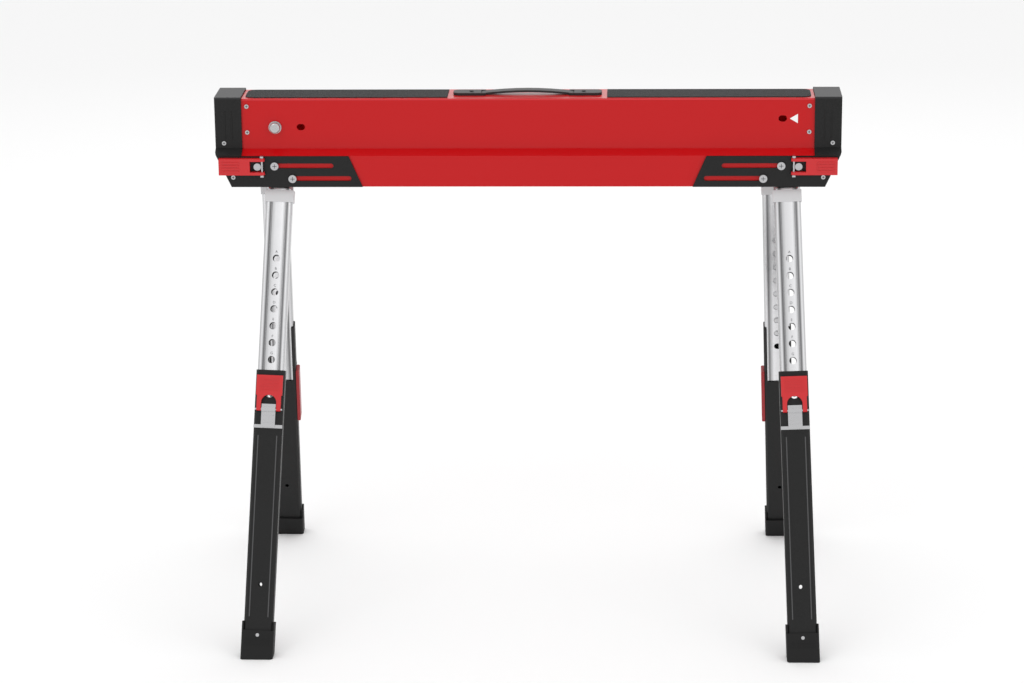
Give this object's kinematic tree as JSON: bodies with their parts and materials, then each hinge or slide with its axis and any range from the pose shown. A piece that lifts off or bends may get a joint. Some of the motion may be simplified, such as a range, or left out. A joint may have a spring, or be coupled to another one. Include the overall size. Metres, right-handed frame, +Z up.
{
  "type": "folding sawhorse",
  "caption": "Folding sawhorse: a red steel channel beam with sliding black end brackets, four splayed two-part tube legs with lever latches, and a grit top.",
  "frame": {"origin": "centre of the footprint on the floor", "axes": "+X along the beam to the right seen from the front, -Y to the front, where the slide levers are, +Z up"},
  "size_m": [0.934, 0.5738, 0.8023],
  "materials": {
    "red_steel": "gloss",
    "black_grit": "matte",
    "black_plastic": "satin",
    "black_steel": "satin",
    "bright_steel": "satin",
    "chrome_steel": "polished",
    "red_plastic": "satin",
    "white_plastic": "satin",
    "black_rubber": "matte",
    "dark_red_plastic": "satin"
  },
  "bodies": {
    "beam": {"beam_shell": "red_steel", "grip_tape_left": "black_grit", "grip_tape_right": "black_grit", "handle_pad_left": "black_plastic", "handle_pad_right": "black_plastic", "handle_strap": "black_plastic", "hinge_carrier_left": "black_steel", "hinge_carrier_right": "black_steel", "hinge_pins": "bright_steel", "slide_studs": "bright_steel", "cover_screws": "bright_steel", "stop_stud": "bright_steel"},
    "bracket_left": {"end_bracket_left": "black_steel", "bracket_cap_left": "black_plastic", "bracket_rivets_left": "bright_steel", "lock_bolt_left": "bright_steel", "lock_pivot_left": "bright_steel"},
    "slide_lock_left": {"slide_lock_lever_left": "red_plastic"},
    "bracket_right": {"end_bracket_right": "black_steel", "bracket_cap_right": "black_plastic", "bracket_rivets_right": "bright_steel", "lock_bolt_right": "bright_steel", "lock_pivot_right": "bright_steel"},
    "slide_lock_right": {"slide_lock_lever_right": "red_plastic"},
    "upper_front_left": {"upper_leg_front_left": "chrome_steel", "leg_collar_front_left": "white_plastic"},
    "lower_front_left": {"lower_leg_front_left": "black_steel", "foot_front_left": "black_rubber", "latch_clip_front_left": "bright_steel", "latch_pivot_front_left": "bright_steel"},
    "latch_front_left": {"latch_lever_front_left": "red_plastic", "latch_pin_front_left": "bright_steel"},
    "upper_front_right": {"upper_leg_front_right": "chrome_steel", "leg_collar_front_right": "white_plastic"},
    "lower_front_right": {"lower_leg_front_right": "black_steel", "foot_front_right": "black_rubber", "latch_clip_front_right": "bright_steel", "latch_pivot_front_right": "bright_steel"},
    "latch_front_right": {"latch_lever_front_right": "red_plastic", "latch_pin_front_right": "bright_steel"},
    "upper_rear_left": {"upper_leg_rear_left": "chrome_steel", "leg_collar_rear_left": "white_plastic"},
    "lower_rear_left": {"lower_leg_rear_left": "black_steel", "foot_rear_left": "black_rubber", "latch_clip_rear_left": "bright_steel", "latch_pivot_rear_left": "bright_steel", "leg_clip_rear_left": "dark_red_plastic"},
    "latch_rear_left": {"latch_lever_rear_left": "red_plastic", "latch_pin_rear_left": "bright_steel"},
    "upper_rear_right": {"upper_leg_rear_right": "chrome_steel", "leg_collar_rear_right": "white_plastic"},
    "lower_rear_right": {"lower_leg_rear_right": "black_steel", "foot_rear_right": "black_rubber", "latch_clip_rear_right": "bright_steel", "latch_pivot_rear_right": "bright_steel", "leg_clip_rear_right": "dark_red_plastic"},
    "latch_rear_right": {"latch_lever_rear_right": "red_plastic", "latch_pin_rear_right": "bright_steel"}
  },
  "joints": [
    {"name": "slide_left", "type": "slide", "parent": "beam", "child": "bracket_left", "axis": [-1, 0, 0], "range_m": [0, 0.084]},
    {"name": "lock_left", "type": "hinge", "parent": "bracket_left", "child": "slide_lock_left", "pos_m": [-0.396, -0.056, 0.6965], "axis": [0, 0, 1], "range_deg": [0, 25], "stiffness_Nm_per_rad": 0.4},
    {"name": "slide_right", "type": "slide", "parent": "beam", "child": "bracket_right", "axis": [1, 0, 0], "range_m": [0, 0.084]},
    {"name": "lock_right", "type": "hinge", "parent": "bracket_right", "child": "slide_lock_right", "pos_m": [0.396, -0.056, 0.6965], "axis": [0, 0, -1], "range_deg": [0, 25], "stiffness_Nm_per_rad": 0.4},
    {"name": "fold_front_left", "type": "hinge", "parent": "beam", "child": "upper_front_left", "pos_m": [-0.372, -0.027, 0.664], "axis": [0, -0.9382, 0.3461], "range_deg": [0, 94.7]},
    {"name": "extend_front_left", "type": "slide", "parent": "upper_front_left", "child": "lower_front_left", "axis": [0.04, 0.3458, 0.9374], "range_m": [0, 0.1778]},
    {"name": "latch_front_left", "type": "hinge", "parent": "lower_front_left", "child": "latch_front_left", "pos_m": [-0.38563, -0.15835, 0.34928], "axis": [-0.9992, 0.0138, 0.0375], "range_deg": [-25, 0], "stiffness_Nm_per_rad": 0.4},
    {"name": "fold_front_right", "type": "hinge", "parent": "beam", "child": "upper_front_right", "pos_m": [0.387, -0.027, 0.664], "axis": [0, 0.9382, -0.3461], "range_deg": [0, 84]},
    {"name": "extend_front_right", "type": "slide", "parent": "upper_front_right", "child": "lower_front_right", "axis": [-0.033, 0.3459, 0.9377], "range_m": [0, 0.1778]},
    {"name": "latch_front_right", "type": "hinge", "parent": "lower_front_right", "child": "latch_front_right", "pos_m": [0.39825, -0.15838, 0.3492], "axis": [-0.9995, -0.0114, -0.0309], "range_deg": [-25, 0], "stiffness_Nm_per_rad": 0.4},
    {"name": "fold_rear_left", "type": "hinge", "parent": "beam", "child": "upper_rear_left", "pos_m": [-0.387, 0.027, 0.664], "axis": [0, -0.9382, -0.3461], "range_deg": [0, 84]},
    {"name": "extend_rear_left", "type": "slide", "parent": "upper_rear_left", "child": "lower_rear_left", "axis": [0.033, -0.3459, 0.9377], "range_m": [0, 0.1778]},
    {"name": "latch_rear_left", "type": "hinge", "parent": "lower_rear_left", "child": "latch_rear_left", "pos_m": [-0.39825, 0.15838, 0.3492], "axis": [0.9995, 0.0114, -0.0309], "range_deg": [-25, 0], "stiffness_Nm_per_rad": 0.4},
    {"name": "fold_rear_right", "type": "hinge", "parent": "beam", "child": "upper_rear_right", "pos_m": [0.372, 0.027, 0.664], "axis": [0, 0.9382, 0.3461], "range_deg": [0, 94.7]},
    {"name": "extend_rear_right", "type": "slide", "parent": "upper_rear_right", "child": "lower_rear_right", "axis": [-0.04, -0.3458, 0.9374], "range_m": [0, 0.1778]},
    {"name": "latch_rear_right", "type": "hinge", "parent": "lower_rear_right", "child": "latch_rear_right", "pos_m": [0.38563, 0.15835, 0.34928], "axis": [0.9992, -0.0138, 0.0375], "range_deg": [-25, 0], "stiffness_Nm_per_rad": 0.4}
  ]
}
